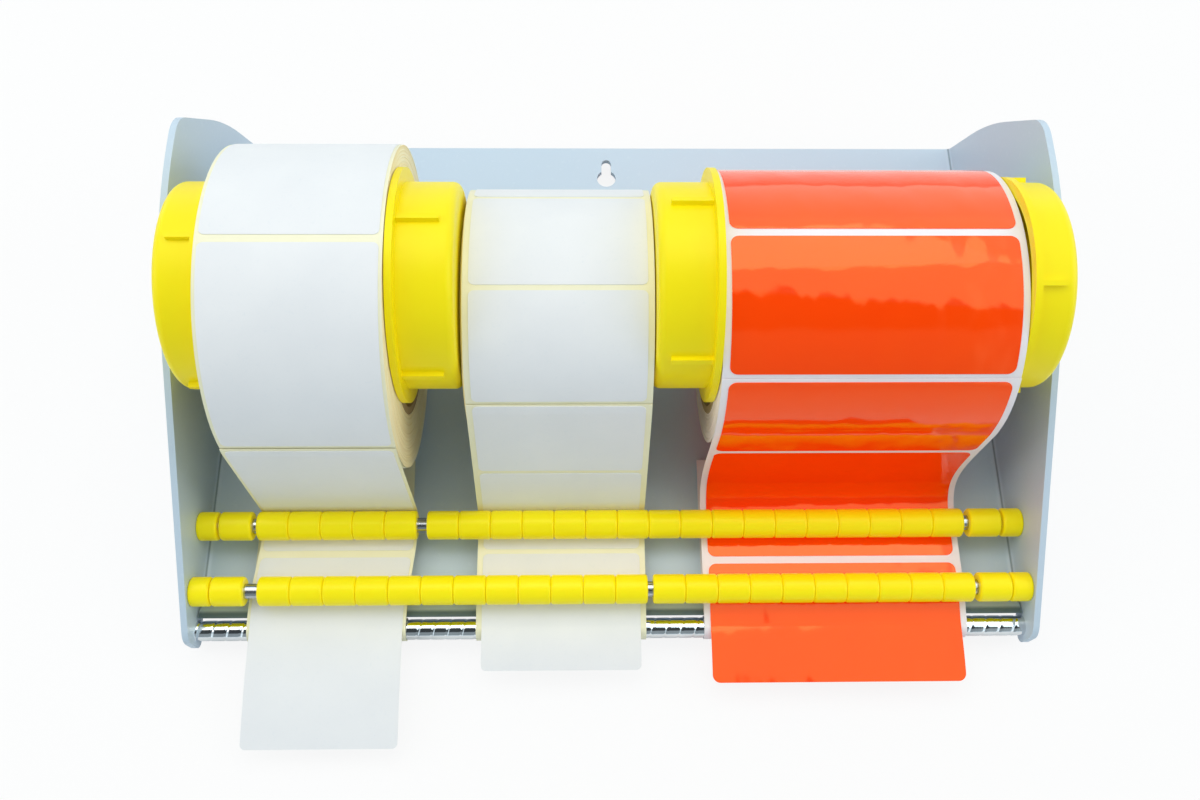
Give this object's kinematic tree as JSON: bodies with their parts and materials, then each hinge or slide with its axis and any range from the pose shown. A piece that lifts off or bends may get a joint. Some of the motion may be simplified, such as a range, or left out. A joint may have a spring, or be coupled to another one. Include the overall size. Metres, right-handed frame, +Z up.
{
  "type": "label roll dispenser",
  "caption": "Desktop dispenser for several rolls of labels: a folded steel frame, a lift-out shaft with core adapters, two rows of guide rollers and a chrome peel bar.",
  "frame": {"origin": "on the table, under the centre of the whole part's outline, peeled labels included", "axes": "+X along the shaft and the rollers, from the narrow white roll to the orange one; -Y towards the user at the peel bar; +Z up"},
  "size_m": [0.3382, 0.2742, 0.1339],
  "materials": {
    "frame_paint": "smooth grey-blue powder coat",
    "chrome": "polished, with a fine helical tool mark",
    "rod_steel": "drawn bright steel",
    "screw_steel": "zinc-plated",
    "tube_steel": "drawn tube",
    "plug_plastic": "dark moulded plastic",
    "yellow_plastic": "satin moulded yellow plastic",
    "roller_plastic": "satin yellow plastic",
    "cardboard": "spirally wound grey-brown cardboard",
    "white_labels": "white label paper on its backing",
    "orange_labels": "fluorescent orange label paper on its backing",
    "backing": "bare yellowish backing paper",
    "foot_rubber": "matt black rubber"
  },
  "bodies": {
    "base": {"frame": "frame_paint", "peel_bar": "chrome", "upper_rod": "rod_steel", "lower_rod": "rod_steel", "rod_screws": "screw_steel", "upper_left_collar": "roller_plastic", "upper_right_collar": "roller_plastic", "lower_left_collar": "roller_plastic", "lower_right_collar": "roller_plastic", "left_web": "white_labels", "middle_web": "white_labels", "right_web": "orange_labels", "left_label": "white_labels", "middle_label": "white_labels", "right_label": "orange_labels", "left_liner_return": "backing", "middle_liner_return": "backing", "right_liner_return": "backing", "front_left_foot": "foot_rubber", "front_right_foot": "foot_rubber", "back_left_foot": "foot_rubber", "back_right_foot": "foot_rubber"},
    "shaft": {"shaft_tube": "tube_steel", "shaft_left_plug": "plug_plastic", "shaft_right_plug": "plug_plastic"},
    "left_roll": {"left_core": "cardboard", "left_label_roll": "white_labels"},
    "middle_roll": {"middle_core": "cardboard", "middle_label_roll": "white_labels"},
    "right_roll": {"right_core": "cardboard", "right_label_roll": "orange_labels"},
    "left_outer_adapter_body": {"left_outer_adapter": "yellow_plastic"},
    "left_inner_adapter_body": {"left_inner_adapter": "yellow_plastic"},
    "right_inner_adapter_body": {"right_inner_adapter": "yellow_plastic"},
    "right_outer_adapter_body": {"right_outer_adapter": "yellow_plastic"},
    "upper_outer_left_roller_body": {"upper_rollers_outer_left": "roller_plastic"},
    "upper_left_roller_body": {"upper_rollers_left": "roller_plastic"},
    "upper_inner_left_roller_body": {"upper_rollers_inner_left": "roller_plastic"},
    "upper_middle_roller_body": {"upper_rollers_middle": "roller_plastic"},
    "upper_inner_right_roller_body": {"upper_rollers_inner_right": "roller_plastic"},
    "upper_right_roller_body": {"upper_rollers_right": "roller_plastic"},
    "upper_outer_right_roller_body": {"upper_rollers_outer_right": "roller_plastic"},
    "lower_outer_left_roller_body": {"lower_rollers_outer_left": "roller_plastic"},
    "lower_left_roller_body": {"lower_rollers_left": "roller_plastic"},
    "lower_inner_left_roller_body": {"lower_rollers_inner_left": "roller_plastic"},
    "lower_middle_roller_body": {"lower_rollers_middle": "roller_plastic"},
    "lower_inner_right_roller_body": {"lower_rollers_inner_right": "roller_plastic"},
    "lower_right_roller_body": {"lower_rollers_right": "roller_plastic"},
    "lower_outer_right_roller_body": {"lower_rollers_outer_right": "roller_plastic"}
  },
  "joints": [
    {"name": "shaft_lift", "type": "slide", "parent": "base", "child": "shaft", "axis": [0, 0, 1], "range_m": [0, 0.015], "deforming": ["left_web", "middle_web", "right_web"]},
    {"name": "left_roll_spin", "type": "hinge", "parent": "shaft", "child": "left_roll", "pos_m": [-0.10995, 0.0198, 0.0724], "axis": [1, 0, 0], "continuous": true},
    {"name": "middle_roll_spin", "type": "hinge", "parent": "shaft", "child": "middle_roll", "pos_m": [-0.02065, 0.0198, 0.0649], "axis": [1, 0, 0], "continuous": true},
    {"name": "right_roll_spin", "type": "hinge", "parent": "shaft", "child": "right_roll", "pos_m": [0.0887, 0.0198, 0.0724], "axis": [1, 0, 0], "continuous": true},
    {"name": "left_outer_adapter_spin", "type": "hinge", "parent": "shaft", "child": "left_outer_adapter_body", "pos_m": [-0.145, 0.0198, 0.0901], "axis": [1, 0, 0], "continuous": true},
    {"name": "left_inner_adapter_spin", "type": "hinge", "parent": "shaft", "child": "left_inner_adapter_body", "pos_m": [-0.068, 0.0198, 0.0901], "axis": [1, 0, 0], "continuous": true},
    {"name": "right_inner_adapter_spin", "type": "hinge", "parent": "shaft", "child": "right_inner_adapter_body", "pos_m": [0.024, 0.0198, 0.0901], "axis": [1, 0, 0], "continuous": true},
    {"name": "right_outer_adapter_spin", "type": "hinge", "parent": "shaft", "child": "right_outer_adapter_body", "pos_m": [0.15, 0.0198, 0.0901], "axis": [1, 0, 0], "continuous": true},
    {"name": "upper_outer_left_rollers_spin", "type": "hinge", "parent": "base", "child": "upper_outer_left_roller_body", "pos_m": [-0.15, -0.0523, 0.0225], "axis": [1, 0, 0], "continuous": true},
    {"name": "upper_left_rollers_spin", "type": "hinge", "parent": "base", "child": "upper_left_roller_body", "pos_m": [-0.11, -0.0523, 0.0225], "axis": [1, 0, 0], "continuous": true},
    {"name": "upper_inner_left_rollers_spin", "type": "hinge", "parent": "base", "child": "upper_inner_left_roller_body", "pos_m": [-0.07, -0.0523, 0.0225], "axis": [1, 0, 0], "continuous": true},
    {"name": "upper_middle_rollers_spin", "type": "hinge", "parent": "base", "child": "upper_middle_roller_body", "pos_m": [-0.02, -0.0523, 0.0225], "axis": [1, 0, 0], "continuous": true},
    {"name": "upper_inner_right_rollers_spin", "type": "hinge", "parent": "base", "child": "upper_inner_right_roller_body", "pos_m": [0.03, -0.0523, 0.0225], "axis": [1, 0, 0], "continuous": true},
    {"name": "upper_right_rollers_spin", "type": "hinge", "parent": "base", "child": "upper_right_roller_body", "pos_m": [0.085, -0.0523, 0.0225], "axis": [1, 0, 0], "continuous": true},
    {"name": "upper_outer_right_rollers_spin", "type": "hinge", "parent": "base", "child": "upper_outer_right_roller_body", "pos_m": [0.15, -0.0523, 0.0225], "axis": [1, 0, 0], "continuous": true},
    {"name": "lower_outer_left_rollers_spin", "type": "hinge", "parent": "base", "child": "lower_outer_left_roller_body", "pos_m": [-0.15, -0.0787, 0.0225], "axis": [1, 0, 0], "continuous": true},
    {"name": "lower_left_rollers_spin", "type": "hinge", "parent": "base", "child": "lower_left_roller_body", "pos_m": [-0.11, -0.0787, 0.0225], "axis": [1, 0, 0], "continuous": true},
    {"name": "lower_inner_left_rollers_spin", "type": "hinge", "parent": "base", "child": "lower_inner_left_roller_body", "pos_m": [-0.07, -0.0787, 0.0225], "axis": [1, 0, 0], "continuous": true},
    {"name": "lower_middle_rollers_spin", "type": "hinge", "parent": "base", "child": "lower_middle_roller_body", "pos_m": [-0.02, -0.0787, 0.0225], "axis": [1, 0, 0], "continuous": true},
    {"name": "lower_inner_right_rollers_spin", "type": "hinge", "parent": "base", "child": "lower_inner_right_roller_body", "pos_m": [0.03, -0.0787, 0.0225], "axis": [1, 0, 0], "continuous": true},
    {"name": "lower_right_rollers_spin", "type": "hinge", "parent": "base", "child": "lower_right_roller_body", "pos_m": [0.085, -0.0787, 0.0225], "axis": [1, 0, 0], "continuous": true},
    {"name": "lower_outer_right_rollers_spin", "type": "hinge", "parent": "base", "child": "lower_outer_right_roller_body", "pos_m": [0.15, -0.0787, 0.0225], "axis": [1, 0, 0], "continuous": true}
  ],
  "couplings": [
    {"joint": "left_outer_adapter_spin", "follows": "left_roll_spin", "ratio": 1.9},
    {"joint": "left_inner_adapter_spin", "follows": "left_roll_spin", "ratio": 1.9},
    {"joint": "right_inner_adapter_spin", "follows": "right_roll_spin", "ratio": 1.9},
    {"joint": "right_outer_adapter_spin", "follows": "right_roll_spin", "ratio": 1.9},
    {"joint": "upper_left_rollers_spin", "follows": "left_roll_spin", "ratio": -10.696},
    {"joint": "lower_left_rollers_spin", "follows": "left_roll_spin", "ratio": -10.696},
    {"joint": "upper_middle_rollers_spin", "follows": "middle_roll_spin", "ratio": -8.5217},
    {"joint": "lower_middle_rollers_spin", "follows": "middle_roll_spin", "ratio": -8.5217},
    {"joint": "upper_right_rollers_spin", "follows": "right_roll_spin", "ratio": -9.0957},
    {"joint": "lower_right_rollers_spin", "follows": "right_roll_spin", "ratio": -9.0957}
  ]
}
